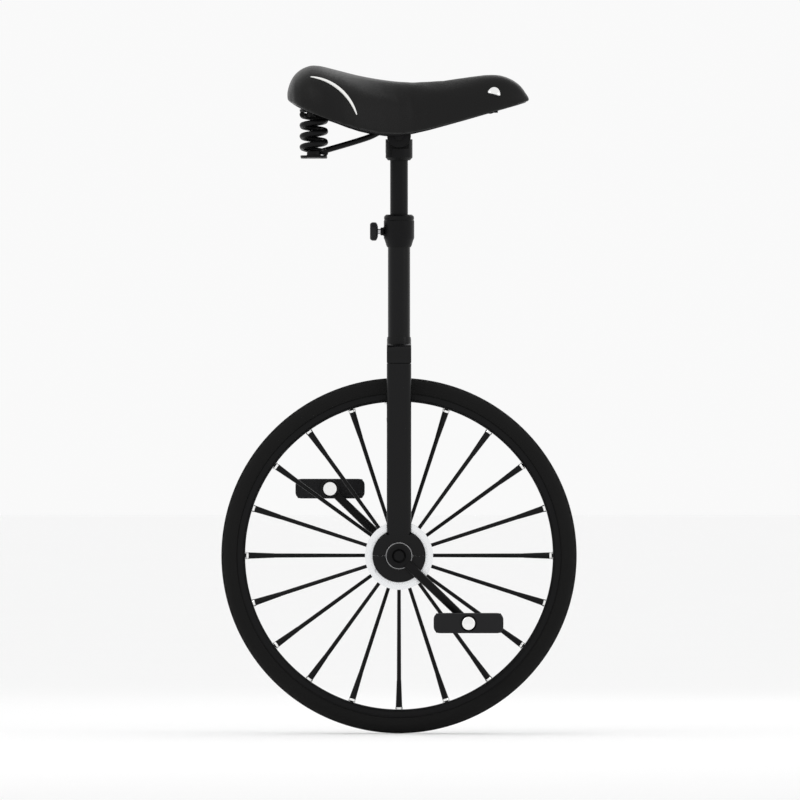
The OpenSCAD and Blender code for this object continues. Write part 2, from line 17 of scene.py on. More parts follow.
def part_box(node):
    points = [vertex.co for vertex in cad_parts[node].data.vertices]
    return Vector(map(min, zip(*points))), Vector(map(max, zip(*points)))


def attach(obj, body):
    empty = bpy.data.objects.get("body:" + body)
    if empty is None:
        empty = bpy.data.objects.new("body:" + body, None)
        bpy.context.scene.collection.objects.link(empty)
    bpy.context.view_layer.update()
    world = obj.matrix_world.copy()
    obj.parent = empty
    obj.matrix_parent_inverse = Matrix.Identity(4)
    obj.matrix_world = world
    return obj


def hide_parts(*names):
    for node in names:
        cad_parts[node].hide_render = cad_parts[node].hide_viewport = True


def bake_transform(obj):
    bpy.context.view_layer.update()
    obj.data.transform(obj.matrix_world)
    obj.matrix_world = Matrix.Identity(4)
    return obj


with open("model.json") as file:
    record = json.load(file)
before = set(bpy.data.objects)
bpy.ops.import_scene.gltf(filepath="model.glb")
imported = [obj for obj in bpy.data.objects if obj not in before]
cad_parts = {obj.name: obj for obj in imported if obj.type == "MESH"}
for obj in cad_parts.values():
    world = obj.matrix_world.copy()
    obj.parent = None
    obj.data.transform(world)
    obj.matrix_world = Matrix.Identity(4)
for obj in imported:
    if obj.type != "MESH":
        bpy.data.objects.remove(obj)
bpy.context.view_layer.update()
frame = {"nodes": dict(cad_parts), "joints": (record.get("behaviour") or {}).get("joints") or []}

LOG = logging.getLogger("unicycle")
MM = 0.001
LEFT, RIGHT = 1, -1

Number = Union[float, "Value"]
Colour = tuple[float, float, float]


def centre(node: str) -> Vector:
    """Returns the middle of a CAD node's box."""
    low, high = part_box(node)
    return (Vector(low) + Vector(high)) / 2


def extent(node: str) -> Vector:
    """Returns the three sides of a CAD node's box."""
    low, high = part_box(node)
    return Vector(high) - Vector(low)


# --------------------------------------------------------------------------- finishes


class Value:
    """A number that varies over a surface, written with Python's operators."""

    def __init__(self, shader: "Shader", socket: bpy.types.NodeSocket) -> None:
        """Args:
            shader: the node tree that the number belongs to.
            socket: the output that gives the number.
        """
        self.shader = shader
        self.socket = socket

    def _join(self, operation: str, first: Number, second: Number) -> "Value":
        """Returns the result of a Math node fed with two numbers."""
        node = self.shader.add("ShaderNodeMath", {"operation": operation}, {0: first, 1: second})
        return Value(self.shader, node.outputs[0])

    def __add__(self, other: Number) -> "Value":
        """Returns self + other."""
        return self._join("ADD", self, other)

    def __sub__(self, other: Number) -> "Value":
        """Returns self - other."""
        return self._join("SUBTRACT", self, other)

    def __rsub__(self, other: Number) -> "Value":
        """Returns other - self."""
        return self._join("SUBTRACT", other, self)

    def __mul__(self, other: Number) -> "Value":
        """Returns self * other."""
        return self._join("MULTIPLY", self, other)

    def __pow__(self, other: Number) -> "Value":
        """Returns self raised to other."""
        return self._join("POWER", self, other)

    __radd__ = __add__
    __rmul__ = __mul__

    def ramp(self, low: float, high: float) -> "Value":
        """Returns 0 below low, 1 above high and a smooth step between them."""
        node = self.shader.add(
            "ShaderNodeMapRange",
            {"interpolation_type": "SMOOTHSTEP", "clamp": True},
            {"Value": self, "From Min": low, "From Max": high},
        )
        return Value(self.shader, node.outputs["Result"])


class Shader:
    """One material's node tree."""

    def __init__(self, name: str) -> None:
        """Args:
            name: the material's name.
        """
        self.material: Material = bpy.data.materials.new(name)
        self.material.use_nodes = True
        self.tree = self.material.node_tree
        self.surface = self.tree.nodes["Principled BSDF"]
        self.coords = self.add("ShaderNodeTexCoord", {}, {}).outputs["Object"]

    def add(self, kind: str, settings: dict, inputs: dict) -> bpy.types.Node:
        """Adds a node.

        Args:
            kind: the node's type.
            settings: its own properties, which are set first.
            inputs: values or links, by socket name or number.

        Returns:
            The new node.
        """
        node = self.tree.nodes.new(kind)
        for key, value in settings.items():
            setattr(node, key, value)
        self.feed(node, inputs)
        return node

    def feed(self, node: bpy.types.Node, inputs: dict) -> None:
        """Sets or links a node's sockets."""
        for key, value in inputs.items():
            source = value.socket if isinstance(value, Value) else value
            if isinstance(source, bpy.types.NodeSocket):
                self.tree.links.new(source, node.inputs[key])
            else:
                node.inputs[key].default_value = source

    def noise(self, scale: float, detail: float = 2.0, stretch: Sequence[float] = (1, 1, 1)) -> Value:
        """Returns a noise from 0 to 1, with a number of cells to the metre along each axis."""
        mapped = self.add("ShaderNodeMapping", {}, {"Vector": self.coords, "Scale": stretch})
        node = self.add("ShaderNodeTexNoise", {}, {
            "Vector": mapped.outputs["Vector"], "Scale": scale, "Detail": detail})
        return Value(self, node.outputs[0])

    def cells(self, scale: float, feature: str = "DISTANCE_TO_EDGE") -> Value:
        """Returns a cell pattern's distances, with scale cells to the metre."""
        node = self.add("ShaderNodeTexVoronoi", {"feature": feature}, {
            "Vector": self.coords, "Scale": scale})
        return Value(self, node.outputs["Distance"])

    def rings(self, middle_z: float, scale: float) -> Value:
        """Returns the fine lines of a lathe, turned about a Y axis at a height."""
        parts = self.add("ShaderNodeSeparateXYZ", {}, {0: self.coords}).outputs
        across, along, up = (Value(self, socket) for socket in parts)
        high = up - middle_z
        radius = (across * across + high * high) ** 0.5
        place = self.add("ShaderNodeCombineXYZ", {}, {0: radius * scale, 1: along * scale})
        node = self.add("ShaderNodeTexNoise", {}, {
            "Vector": place.outputs[0], "Scale": 1.0, "Detail": 3.0})
        return Value(self, node.outputs[0])

    def blend(self, share: Value, first: Colour, second: Colour) -> bpy.types.NodeSocket:
        """Returns a colour that goes from first to second as share goes from 0 to 1."""
        node = self.add("ShaderNodeMix", {"data_type": "RGBA"}, {
            0: share, 6: (*first, 1.0), 7: (*second, 1.0)})
        return node.outputs[2]


class Grain(Enum):
    """The kinds of relief that a finish can have."""

    SPRAYED = "sprayed"
    MOULDED = "moulded"
    PEBBLED = "pebbled"
    LEATHER = "leather"
    TURNED = "turned"
    DRAWN = "drawn"
    WOVEN = "woven"


@dataclass(frozen=True)
class Finish:
    """How one material looks.

    Args:
        name: the material's name.
        colour: its main colour.
        worn: the colour where it is rubbed or dusty.
        roughness: its mean roughness.
        spread: how far the roughness goes up and down.
        grain: the kind of relief.
        depth: the relief's height in metres.
        metallic: 1 for bare metal.
        coat: the weight of a clear coat.
        wear: how much of the surface is rubbed or dusty, from 0 to 1.
        specular: the strength of the mirror-like reflection of a non-metal.
    """

    name: str
    colour: Colour
    worn: Colour
    roughness: float
    spread: float
    grain: Grain
    depth: float
    metallic: float = 0.0
    coat: float = 0.0
    wear: float = 0.25
    specular: float = 0.4

    def _relief(self, shader: Shader) -> Value:
        """Returns the height of the finish's grain, from about 0 to 1."""
        if self.grain is Grain.LEATHER:
            creases = shader.cells(520.0).ramp(0.0, 0.28)
            pores = shader.noise(1500.0, 3.0)
            return creases * 0.8 + pores * 0.25 + shader.noise(60.0) * 0.2
        if self.grain is Grain.PEBBLED:
            return shader.noise(1300.0, 4.0) * 0.7 + shader.cells(420.0, "F1") * 0.3
        if self.grain is Grain.TURNED:
            return shader.rings(centre("axle").z, 1600.0)
        if self.grain is Grain.DRAWN:
            return shader.noise(60.0, 4.0, (30.0, 30.0, 1.0))
        if self.grain is Grain.WOVEN:
            return shader.noise(500.0, 2.0, (6.0, 1.0, 1.0)) * shader.noise(500.0, 2.0, (1.0, 1.0, 6.0))
        if self.grain is Grain.MOULDED:
            return shader.noise(1000.0, 5.0)
        return shader.noise(180.0, 2.0) * 0.7 + shader.noise(900.0, 2.0) * 0.3

    def make(self) -> Material:
        """Returns the finished material."""
        shader = Shader(self.name)
        relief = self._relief(shader)
        patches = shader.noise(22.0, 6.0)
        specks = shader.noise(420.0, 3.0)
        worn = (patches * 0.65 + specks * 0.35).ramp(0.66 - 0.3 * self.wear, 0.92 - 0.2 * self.wear)
        bump = shader.add("ShaderNodeBump", {}, {"Distance": self.depth, "Height": relief})
        tone = worn * 0.8 + relief * 0.2
        shader.feed(shader.surface, {
            "Base Color": shader.blend(tone, self.colour, self.worn),
            "Roughness": (patches - 0.5) * self.spread + worn * (self.spread * 0.8) + self.roughness,
            "Normal": bump.outputs["Normal"],
            "Metallic": self.metallic,
            "Coat Weight": self.coat,
            "Coat Roughness": 0.06,
            "Specular IOR Level": self.specular,
        })
        return shader.material


JET: Colour = (0.0025, 0.0025, 0.0028)
SOOT: Colour = (0.006, 0.006, 0.0064)
DUST: Colour = (0.014, 0.0135, 0.013)

ENAMEL = Finish("frame_enamel", JET, SOOT, 0.24, 0.10, Grain.SPRAYED, 0.00003, coat=0.08, specular=0.14)
SATIN = Finish("satin_black", JET, SOOT, 0.40, 0.14, Grain.SPRAYED, 0.00003, specular=0.13)
ANODISED = Finish("rim_anodised", JET, SOOT, 0.34, 0.12, Grain.TURNED, 0.00002, specular=0.13)
COATED_WIRE = Finish("spoke_coating", JET, SOOT, 0.33, 0.12, Grain.DRAWN, 0.00001, specular=0.13)
TYRE_RUBBER = Finish("tyre_rubber", (0.006, 0.006, 0.006), DUST, 0.72, 0.16, Grain.PEBBLED, 0.00010,
                     wear=0.3, specular=0.1)
PEDAL_RUBBER = Finish("pedal_rubber", (0.008, 0.008, 0.008), DUST, 0.68, 0.14, Grain.PEBBLED,
                      0.00008, wear=0.3, specular=0.1)
MOULDING = Finish("moulded_plastic", (0.009, 0.009, 0.010), (0.02, 0.02, 0.02), 0.46, 0.14,
                  Grain.MOULDED, 0.00006, specular=0.15)
HIDE = Finish("saddle_leather", (0.003, 0.0029, 0.0028), (0.0055, 0.0053, 0.0052), 0.38, 0.10,
              Grain.LEATHER, 0.00012, wear=0.15, specular=0.18)
WELT = Finish("saddle_welt", (0.008, 0.008, 0.008), (0.016, 0.016, 0.016), 0.34, 0.1,
              Grain.LEATHER, 0.00006, specular=0.24)
# white bead colour: a painted highlight down each saddle flank, where the wide rear turns into the side
PAINTED_HIGHLIGHT = Finish("painted_highlight_white", (0.86, 0.86, 0.84), (0.74, 0.73, 0.70), 0.24, 0.10,
                Grain.MOULDED, 0.00002, coat=0.4, wear=0.1, specular=0.5)
NICKEL = Finish("nickel_plate", (0.90, 0.90, 0.89), (0.78, 0.78, 0.77), 0.16, 0.08,
                Grain.SPRAYED, 0.00001, metallic=1.0, wear=0.15)
POLISHED = Finish("polished_alloy", (0.88, 0.89, 0.90), (0.74, 0.75, 0.76), 0.20, 0.10,
                  Grain.TURNED, 0.00002, metallic=1.0, wear=0.2)
ZINC = Finish("zinc_plate", (0.60, 0.61, 0.63), (0.42, 0.42, 0.42), 0.34, 0.12,
              Grain.SPRAYED, 0.00002, metallic=1.0)
STEEL = Finish("ground_steel", (0.56, 0.56, 0.57), (0.40, 0.40, 0.41), 0.28, 0.10,
               Grain.TURNED, 0.00001, metallic=1.0)
BRASS = Finish("brass", (0.72, 0.52, 0.22), (0.45, 0.32, 0.14), 0.30, 0.1,
               Grain.DRAWN, 0.00001, metallic=1.0)
TAPE = Finish("rim_tape_weave", (0.30, 0.04, 0.03), (0.22, 0.05, 0.04), 0.85, 0.1,
              Grain.WOVEN, 0.0001, specular=0.2)
FOAM = Finish("seat_foam", (0.52, 0.46, 0.30), (0.40, 0.35, 0.22), 0.9, 0.08,
              Grain.PEBBLED, 0.0002, specular=0.2)

NODE_FINISHES: dict[Finish, tuple[str, ...]] = {
    ENAMEL: ("bearing_housing_left", "bearing_housing_right", "bearing_cap_left",
             "bearing_cap_right", "fork_leg_left", "fork_leg_right", "fork_crown", "neck_tube"),
    SATIN: ("seat_collar", "post_head", "rail_jaws", "saddle_rails", "nose_barrel", "spring_left",
            "spring_right", "spring_cups", "nose_bracket", "crank_left", "crank_right",
            "seat_post", "rail_clamp_bolt", "crank_bolts"),
    ANODISED: ("rim",),
    COATED_WIRE: ("spokes_left", "spokes_right", "nipples_left", "nipples_right"),
    TYRE_RUBBER: ("tyre", "inner_tube", "bearing_shields"),
    PEDAL_RUBBER: ("pedal_treads_left", "pedal_treads_right"),
    MOULDING: ("clamp_knob", "pedal_frame_left", "pedal_frame_right", "saddle_base", "valve_cap"),
    HIDE: ("saddle_cover",),
    # the saddle_piping node takes the white bead that paints the flank highlight
    PAINTED_HIGHLIGHT: ("saddle_piping",),
    NICKEL: ("spoke_ferrules", "valve_stem", "nose_studs", "spindle_nuts",
             "pedal_cap_left", "pedal_cap_right"),
    POLISHED: ("hub_shell",),
    ZINC: ("bearing_cap_bolts", "nose_bolt", "pedal_spindle_left", "pedal_spindle_right"),
    STEEL: ("axle", "bearing_inner_rings", "bearing_balls", "bearing_outer_rings",
            "head_grub_screw", "clamp_stud"),
    BRASS: ("clamp_pad",),
    TAPE: ("rim_tape",),
    FOAM: ("saddle_padding",),
}


class PaintShop:
    """Keeps each finish's material, and puts it on pieces and CAD nodes."""

    def __init__(self) -> None:
        """Starts with no material made."""
        self._made: dict[str, Material] = {}

    def material(self, finish: Finish) -> Material:
        """Returns a finish's material, made once."""
        if finish.name not in self._made:
            self._made[finish.name] = finish.make()
        return self._made[finish.name]

    def dress(self, piece: Object, finish: Finish) -> None:
        """Gives a piece one material for all its faces."""
        piece.data.materials.clear()
        piece.data.materials.append(self.material(finish))

    def dress_nodes(self) -> None:
        """Gives every CAD node its finish."""
        for finish, nodes in NODE_FINISHES.items():
            for node in nodes:
                for slot in frame["nodes"][node].material_slots:
                    slot.material = self.material(finish)


SHOP = PaintShop()


# --------------------------------------------------------------------------- shapes


class Shape:
    """A mesh under construction, made of one or more closed shells."""

    def __init__(self) -> None:
        """Starts empty."""
        self.bm: BMesh = bmesh.new()

    @classmethod
    def block(
        cls, size: Sequence[float], middle: Sequence[float], edge: float,
        corner_axis: Optional[int] = None, corner: float = 0.0,
    ) -> "Shape":
        """Makes a box with softened edges.

        Args:
            size: the box's three sides.
            middle: its centre.
            edge: the width of the bevel on every edge.
            corner_axis: the axis along which the four corner edges are rounded first.
            corner: the radius of those corners.

        Returns:
            The shape.
        """
        shape = cls()
        bmesh.ops.create_cube(shape.bm, size=1.0)
        bmesh.ops.scale(shape.bm, vec=size, verts=shape.bm.verts)
        if corner_axis is not None:
            upright = [e for e in shape.bm.edges
                       if abs((e.verts[1].co - e.verts[0].co).normalized()[corner_axis]) > 0.9]
            bmesh.ops.bevel(shape.bm, geom=upright, offset=corner, segments=6, profile=0.5,
                            affect="EDGES", material=-1)
        shape.soften(edge)
        return shape.move(Matrix.Translation(middle))

    @classmethod
    def turned(
        cls, profile: Sequence[Sequence[float]], middle: Sequence[float],
        axis: str = "Y", steps: int = 64, ring: bool = False,
    ) -> "Shape":
        """Turns a profile about an axis, as on a lathe.

        Args:
            profile: (radius, distance along the axis) for each point.
            middle: a point on the axis, from which the distances are measured.
            axis: X, Y or Z.
            steps: the number of facets round the axis.
            ring: whether the profile closes on itself, as a tyre's section does.

        Returns:
            The shape.
        """
        shape = cls()
        along = Vector([float(axis == name) for name in "XYZ"])
        outward = Vector((0, 0, 1)) if axis == "X" else Vector((1, 0, 0))
        points = [shape.bm.verts.new(outward * r + along * d) for r, d in profile]
        pairs = list(zip(points, points[1:] + points[:1] if ring else points[1:]))
        lines = [shape.bm.edges.new(pair) for pair in pairs]
        bmesh.ops.spin(shape.bm, geom=points + lines, cent=(0, 0, 0), axis=along,
                       angle=2 * math.pi, steps=steps, use_merge=True)
        bmesh.ops.remove_doubles(shape.bm, verts=shape.bm.verts, dist=1e-6)
        bmesh.ops.recalc_face_normals(shape.bm, faces=shape.bm.faces)
        return shape.move(Matrix.Translation(middle))

    @classmethod
    def wire(
        cls, path: Sequence[Vector], radius: float, radii: Optional[Sequence[float]] = None,
        smooth: bool = False, sides: int = 4,
    ) -> "Shape":
        """Makes a round wire along a path.

        Args:
            path: the points of its middle line.
            radius: the wire's radius.
            radii: each point's share of that radius, if it tapers.
            smooth: whether the wire bends smoothly past its points.
            sides: the curve's bevel resolution.

        Returns:
            The shape.
        """
        line = bpy.data.curves.new("wire", "CURVE")
        line.dimensions = "3D"
        line.bevel_depth = radius
        line.bevel_resolution = sides
        line.use_fill_caps = True
        line.resolution_u = 6
        spline = line.splines.new("NURBS" if smooth else "POLY")
        spline.points.add(len(path) - 1)
        for place, point in enumerate(spline.points):
            point.co = (*path[place], 1.0)
            point.radius = radii[place] if radii else 1.0
        if smooth:
            spline.order_u = 3
            spline.use_endpoint_u = True
        holder = bpy.data.objects.new("wire", line)
        bpy.context.scene.collection.objects.link(holder)
        bpy.context.view_layer.update()
        mesh = bpy.data.meshes.new_from_object(
            holder.evaluated_get(bpy.context.evaluated_depsgraph_get()))
        shape = cls()
        shape.bm.from_mesh(mesh)
        bpy.data.objects.remove(holder)
        bpy.data.curves.remove(line)
        bpy.data.meshes.remove(mesh)
        bmesh.ops.remove_doubles(shape.bm, verts=shape.bm.verts, dist=1e-6)
        bmesh.ops.recalc_face_normals(shape.bm, faces=shape.bm.faces)
        return shape

    def move(self, matrix: Matrix) -> "Shape":
        """Applies a matrix to the whole shape and returns it."""
        bmesh.ops.transform(self.bm, matrix=matrix, verts=self.bm.verts)
        return self

    def soften(self, width: float, angle: float = 28.0, segments: int = 2) -> "Shape":
        """Bevels every edge that is sharper than an angle and returns the shape."""
        limit = math.radians(angle)
        sharp = [e for e in self.bm.edges if e.is_manifold and e.calc_face_angle(0.0) > limit]
        if sharp and width > 0:
            bmesh.ops.bevel(self.bm, geom=sharp, offset=width, segments=segments, profile=0.5,
                            affect="EDGES", material=-1, clamp_overlap=True)
        return self

    def join(self, *others: "Shape") -> "Shape":
        """Adds other shapes' shells to this one and returns it."""
        for other in others:
            mesh = bpy.data.meshes.new("joined")
            other.bm.to_mesh(mesh)
            self.bm.from_mesh(mesh)
            bpy.data.meshes.remove(mesh)
            other.bm.free()
        return self

    def cut(self, cutter: "Shape") -> "Shape":
        """Takes another shape's volume out of this one and returns it."""
        pieces = []
        for shape in (self, cutter):
            mesh = bpy.data.meshes.new("cut")
            shape.bm.to_mesh(mesh)
            shape.bm.free()
            pieces.append(bpy.data.objects.new("cut", mesh))
            bpy.context.scene.collection.objects.link(pieces[-1])
        boolean = pieces[0].modifiers.new("cut", "BOOLEAN")
        boolean.operation = "DIFFERENCE"
        boolean.solver = "EXACT"
        boolean.object = pieces[1]
        bpy.context.view_layer.update()
        result = bpy.data.meshes.new_from_object(
            pieces[0].evaluated_get(bpy.context.evaluated_depsgraph_get()))
        self.bm = bmesh.new()
        self.bm.from_mesh(result)
        spare = [result, *(piece.data for piece in pieces)]
        for piece in pieces:
            bpy.data.objects.remove(piece)
        for mesh in spare:
            bpy.data.meshes.remove(mesh)
        return self

    def put(
        self, name: str, finish: Finish, body: Optional[str], nodes: Sequence[str] = (),
        slot: Optional[str] = None, crease: float = 32.0,
    ) -> Object:
        """Turns the shape into a finished piece.

        Args:
            name: the piece's name.
            finish: its finish.
            body: the CAD body that it moves with, or None for a piece that bends between two; such a piece is
                left on no body.
            nodes: the CAD nodes that it stands for.
            slot: the record's material slot; not used.
            crease: the angle above which an edge is shaded sharp.

        Returns:
            The piece.
        """
        limit = math.radians(crease)
        for face in self.bm.faces:
            face.smooth = True
        for edge in self.bm.edges:
            edge.smooth = not edge.is_manifold or edge.calc_face_angle(0.0) < limit
        mesh = bpy.data.meshes.new(name)
        self.bm.to_mesh(mesh)
        self.bm.free()
        piece = bpy.data.objects.new(name, mesh)
        bpy.context.scene.collection.objects.link(piece)
        SHOP.dress(piece, finish)
        if body:
            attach(piece, body)
        if nodes:
            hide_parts(*nodes)
        LOG.info("%s: %d faces, on %s", name, len(mesh.polygons), body or "two bodies")
        return piece


def arc(middle: Sequence[float], radius: float, start: float, stop: float, count: int) -> list:
    """Returns points along a circle in a profile, from one angle to another in degrees."""
    turns = (math.radians(start + (stop - start) * i / count) for i in range(count + 1))
    return [(middle[0] + radius * math.cos(a), middle[1] + radius * math.sin(a)) for a in turns]


def joint_place(name: str) -> Vector:
    """Returns the point that a hinge turns about."""
    return Vector(next(j["pos_m"] for j in frame["joints"] if j["name"] == name))


def side_name(side: int) -> str:
    """Returns left or right."""
    return "left" if side == LEFT else "right"


# --------------------------------------------------------------------------- wheel


@dataclass
class Wheel:
    """The tyre and the rim, turned about the axle."""

    steps: int = 288
    shoulder: float = 113.0
    wall: float = 5.5 * MM
    tread_half: float = 9.5 * MM
    groove: float = 1.3 * MM
    rim_lip: float = 3.0 * MM
    rim_chamfer: float = 4.0 * MM
    hub: Vector = field(default_factory=lambda: centre("axle"))

    def build(self) -> None:
        """Makes both rings."""
        self._tyre()
        self._rim()

    def _tyre(self) -> None:
        """Makes the tyre with its sunken tread pattern and a rib on each wall."""
        radius, half = extent("tyre").z / 2, extent("tyre").y / 2
        middle = radius - half
        outside = []
        for r, y in arc((middle, 0.0), half, -self.shoulder, self.shoulder, 44):
            near_rib = abs(abs(math.degrees(math.atan2(y, r - middle))) - 74.0) < 2.6
            lift = 0.35 * MM if near_rib else 0.0
            away = Vector((r - middle, y)).normalized() * (lift - 0.35 * MM)
            outside.append((r + away.x, y + away.y))
        inside = arc((middle, 0.0), half - self.wall, self.shoulder + 8, -self.shoulder - 8, 14)
        bead = extent("rim").z / 2 - 4.5 * MM
        lip = extent("rim").y / 2 - self.rim_lip - 0.3 * MM
        feet = [(bead + 3 * MM, lip), (bead, lip), (bead, lip - 2.4 * MM), (bead + 3 * MM, lip - 2.4 * MM)]
        others = [(r, -y) for r, y in reversed(feet)]
        profile = outside + feet + inside + others
        tyre = Shape.turned(profile, self.hub, "Y", self.steps, ring=True)
        pockets = [f for f in tyre.bm.faces if self._is_pocket(f, radius)]
        bmesh.ops.inset_individual(tyre.bm, faces=pockets, thickness=0.35 * MM,
                                   depth=-self.groove, use_even_offset=True)
        tyre.put("tyre_casing", TYRE_RUBBER, "wheel", ("tyre",), "tyre_rubber", crease=40.0)

    def _is_pocket(self, face: BMFace, radius: float) -> bool:
        """Tells whether a face of the tread is sunk, in a staggered pattern of blocks."""
        place = face.calc_center_median() - self.hub
        reach = math.hypot(place.x, place.z)
        if reach < radius - 5 * MM or abs(place.y) > self.tread_half or abs(place.y) < 1.0 * MM:
            return False
        turn = int(math.degrees(math.atan2(place.z, place.x)) % 360 / 360 * self.steps)
        row = int(abs(place.y) / (2.0 * MM)) + (1 if place.y > 0 else 0)
        return (turn + row) % 3 == 0

    def _rim(self) -> None:
        """Makes the rim's section, with a well, bead seats and rounded lips."""
        outer, half = extent("rim").z / 2, extent("rim").y / 2
        inner = rim_inner_radius()
        seat, bed = outer - 6 * MM, inner + 3 * MM
        lip = half - self.rim_lip
        right = [(inner, half - self.rim_chamfer), (inner + self.rim_chamfer, half), (outer, half),
                 (outer, lip), (seat, lip), (seat, 6 * MM), (bed, 5.3 * MM)]
        profile = right + [(r, -y) for r, y in reversed(right)]
        rim = Shape.turned(profile, self.hub, "Y", 180, ring=True).soften(0.7 * MM, segments=2)
        rim.put("rim_ring", ANODISED, "wheel", ("rim",), "rim_black", crease=40.0)


def rim_inner_radius() -> float:
    """Returns the rim's inside radius, measured on the CAD node's own mesh."""
    hub = centre("axle")
    return min(math.hypot(v.co.x - hub.x, v.co.z - hub.z) for v in frame["nodes"]["rim"].data.vertices)


# --------------------------------------------------------------------------- drive


@dataclass
class Crank:
    """One crank, forged with a boss, a tapering arm and a pedal eye."""

    side: int
    arm_width: float = 12 * MM
    arm_depth: float = 11 * MM
    boss: float = 18 * MM
    eye: float = 13.5 * MM

    def build(self) -> Object:
        """Makes the crank along +X and turns it to its place."""
        name = f"crank_{side_name(self.side)}"
        low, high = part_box(name)
        inner, outer = sorted((abs(low[1]), abs(high[1])))
        axle = centre("axle")
        pedal = joint_place(f"pedal_{side_name(self.side)}_spin")
        reach = Vector((pedal.x - axle.x, 0, pedal.z - axle.z))
        length = reach.length
        eye_inner = inner + 3 * MM
        hollow = [(0.0, inner), (self.boss - 2 * MM, inner), (self.boss, inner + 1.5 * MM),
                  (self.boss, outer - 2.5 * MM), (self.boss - 3 * MM, outer),
                  (9.5 * MM, outer), (8.6 * MM, outer - 1.2 * MM), (0.0, outer - 1.2 * MM)]
        knob = [(0.0, eye_inner), (self.eye - 1.5 * MM, eye_inner), (self.eye, eye_inner + 1.5 * MM),
                (self.eye, outer - 1.5 * MM), (self.eye - 1.5 * MM, outer), (0.0, outer)]
        arm = Shape.block((length - 8 * MM, self.arm_depth, self.arm_width),
                          (length / 2, inner + 10 * MM, 0), 3 * MM)
        for vert in arm.bm.verts:
            vert.co.z *= 1.10 - 0.16 * vert.co.x / length
        whole = Shape.turned(hollow, (0, 0, 0), "Y", 64).soften(0.6 * MM)
        whole.join(Shape.turned(knob, (length, 0, 0), "Y", 48), arm)
        if self.side == RIGHT:
            whole.move(Matrix.Scale(-1, 4, (0, 1, 0)))
            bmesh.ops.reverse_faces(whole.bm, faces=whole.bm.faces)
        turn = Matrix.Rotation(math.atan2(-reach.z, reach.x), 4, "Y")
        whole.move(Matrix.Translation((axle.x, 0, axle.z)) @ turn)
        return whole.put(f"crank_arm_{side_name(self.side)}", SATIN, "wheel", (name,), "crank_black")


@dataclass
class Pedal:
    """One block pedal: a frame with two end plates, ribbed treads and a bright end cap."""

    side: int
    plate: float = 4 * MM
    corner: float = 8.5 * MM
    ribs: int = 9
    tread_width: float = 29 * MM

    def build(self) -> None:
        """Makes the pedal's three kinds of piece."""
        self.name = side_name(self.side)
        self.body = f"pedal_{self.name}"
        self.middle = centre(f"pedal_frame_{self.name}")
        self.size = extent(f"pedal_frame_{self.name}")
        self._frame()
        self._treads()
        self._cap()

    def _frame(self) -> None:
        """Makes the moulded frame."""
        far = self.size.y / 2
        plates = [
            Shape.block((self.size.x, self.plate, self.size.z),
                        self.middle + Vector((0, y, 0)), 0.8 * MM, corner_axis=1, corner=self.corner)
            for y in (-far + self.plate / 2, far - self.plate / 2)
        ]
        bars = [Shape.block((8 * MM, self.size.y - 2 * MM, 7 * MM),
                            self.middle + Vector((x, 0, 0)), 1.0 * MM) for x in (-32 * MM, 32 * MM)]
        waist = [(6.05 * MM, -far), (11.5 * MM, -far), (11.5 * MM, -far + 10 * MM),
                 (9.8 * MM, -far + 16 * MM), (9.8 * MM, far - 16 * MM), (11.5 * MM, far - 10 * MM),
                 (11.5 * MM, far), (6.05 * MM, far)]
        barrel = Shape.turned(waist, self.middle, "Y", 48, ring=True)
        barrel.join(*plates, *bars)
        barrel.put(f"pedal_cage_{self.name}", MOULDING, self.body,
                   (f"pedal_frame_{self.name}",), "pedal_plastic")

    def _treads(self) -> None:
        """Makes the two rubber treads with raised ribs above and below."""
        length = self.size.y - 2 * self.plate - 0.6 * MM
        pitch = length / self.ribs
        high = self.size.z - 1 * MM
        shells = []
        for x in (-32 * MM, 32 * MM):
            place = self.middle + Vector((x, 0, 0))
            shells.append(Shape.block((self.tread_width - 2 * MM, length, high - 5 * MM), place, 1 * MM))
            for i in range(self.ribs):
                y = (i + 0.5) * pitch - length / 2
                shells.append(Shape.block((self.tread_width, pitch * 0.62, high),
                                          place + Vector((0, y, 0)), 0.9 * MM))
        first = shells.pop(0).join(*shells)
        first.put(f"pedal_rubber_{self.name}", PEDAL_RUBBER, self.body,
                  (f"pedal_treads_{self.name}",), "pedal_rubber")

    def _cap(self) -> None:
        """Makes the bright dust cap with a shallow dome."""
        node = f"pedal_cap_{self.name}"
        size, middle = extent(node), centre(node)
        near, tip = -self.side * size.y / 2, self.side * size.y / 2
        radius = size.x / 2
        profile = [(0.0, near), (radius, near), (radius, near + 0.45 * (tip - near)),
                   (radius - 0.8 * MM, near + 0.72 * (tip - near)),
                   (radius * 0.8, near + 0.80 * (tip - near)),
                   (radius * 0.45, near + 0.95 * (tip - near)), (0.0, tip)]
        cap = Shape.turned(profile, middle, "Y", 48)
        cap.put(f"dust_cap_{self.name}", NICKEL, self.body, (node,), "nickel_plate", crease=50.0)


# --------------------------------------------------------------------------- frame


